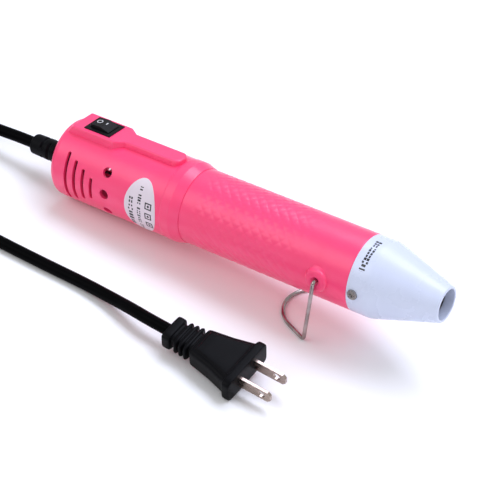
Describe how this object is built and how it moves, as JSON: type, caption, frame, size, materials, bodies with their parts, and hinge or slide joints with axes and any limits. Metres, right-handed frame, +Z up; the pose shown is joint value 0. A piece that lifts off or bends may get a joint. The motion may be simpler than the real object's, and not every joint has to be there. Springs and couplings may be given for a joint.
{
  "type": "hand-held hot-air embossing tool",
  "caption": "Slim hand-held hot-air tool with a rocker switch on a raised pad, vented rear shell, cone nozzle, folding wire stand and mains cord.",
  "frame": {"origin": "on the surface the tool stands on, under the middle of the tool without its free cord", "axes": "+X towards the nozzle, +Z up, +Y to the tool's left; the tool stands pitched 5.4 degrees nose-up on its rear rim and wire stand"},
  "size_m": [0.3775, 0.1118, 0.0595],
  "materials": {
    "pink_shell": "satin moulded",
    "pink_grip": "finely knurled",
    "white_nozzle": "smooth heat-resistant",
    "steel_screw": "zinc plated",
    "white_label": "printed sticker",
    "black_switch": "satin black",
    "brass_tab": "plain",
    "black_rubber": "matt moulded",
    "black_cord": "satin sheath",
    "black_strap": "woven look strap",
    "nylon_part": "natural nylon",
    "nickel_blade": "nickel plated",
    "motor_steel": "drawn steel",
    "ferrite": "ground",
    "bronze_bush": "sintered",
    "armature_iron": "varnished",
    "fan_plastic": "moulded",
    "board": "laminate",
    "diode_black": "moulded",
    "lead_sleeve": "insulated wire",
    "mica": "mica sheet",
    "thin_sheet": "rolled sheet",
    "heat_wire": "drawn resistance wire",
    "fuse_case": "drawn",
    "wire_steel": "nickel-plated spring wire"
  },
  "bodies": {
    "tool": {"rear_housing": "pink_shell", "grip_tube": "pink_grip", "nozzle_cone": "white_nozzle", "nozzle_screws": "steel_screw", "rating_label": "white_label", "switch_frame": "black_switch", "switch_terminals": "brass_tab", "cord_gland": "black_rubber", "cord_inner": "black_cord", "cord_clamp": "nylon_part", "clamp_screws": "steel_screw", "motor_can": "motor_steel", "motor_end_cap": "nylon_part", "motor_magnets": "ferrite", "motor_bushes": "bronze_bush", "motor_terminals": "brass_tab", "motor_screws": "steel_screw", "motor_mount": "nylon_part", "rectifier_board": "board", "diodes": "diode_black", "live_lead": "lead_sleeve", "neutral_lead": "lead_sleeve", "switched_lead": "lead_sleeve", "heater_leads": "lead_sleeve", "element_former": "mica", "mica_sleeve": "mica", "heat_shield": "thin_sheet", "rear_spacer": "nylon_part", "front_spacer": "mica", "outlet_cone": "thin_sheet", "thermal_fuse": "fuse_case", "heating_coil": "heat_wire", "cord_lead": "black_cord", "cord_coil": "black_cord", "coil_tie": "black_strap", "cord_tail": "black_cord", "plug_body": "black_rubber", "plug_blades": "nickel_blade"},
    "rocker": {"switch_rocker": "black_switch"},
    "stand": {"wire_stand": "wire_steel"},
    "rotor": {"motor_shaft": "motor_steel", "motor_armature": "armature_iron", "fan": "fan_plastic"}
  },
  "joints": [
    {"name": "switch_press", "type": "hinge", "parent": "tool", "child": "rocker", "pos_m": [-0.08158, 0, 0.04616], "axis": [0, -1, 0], "range_deg": [0, 14]},
    {"name": "stand_fold", "type": "hinge", "parent": "tool", "child": "stand", "pos_m": [0.06574, 0, 0.037], "axis": [0, 1, 0], "range_deg": [-103, 21]},
    {"name": "fan_spin", "type": "hinge", "parent": "tool", "child": "rotor", "pos_m": [-0.02107, 0, 0.02878], "axis": [0.9956, 0, 0.0942], "continuous": true}
  ]
}
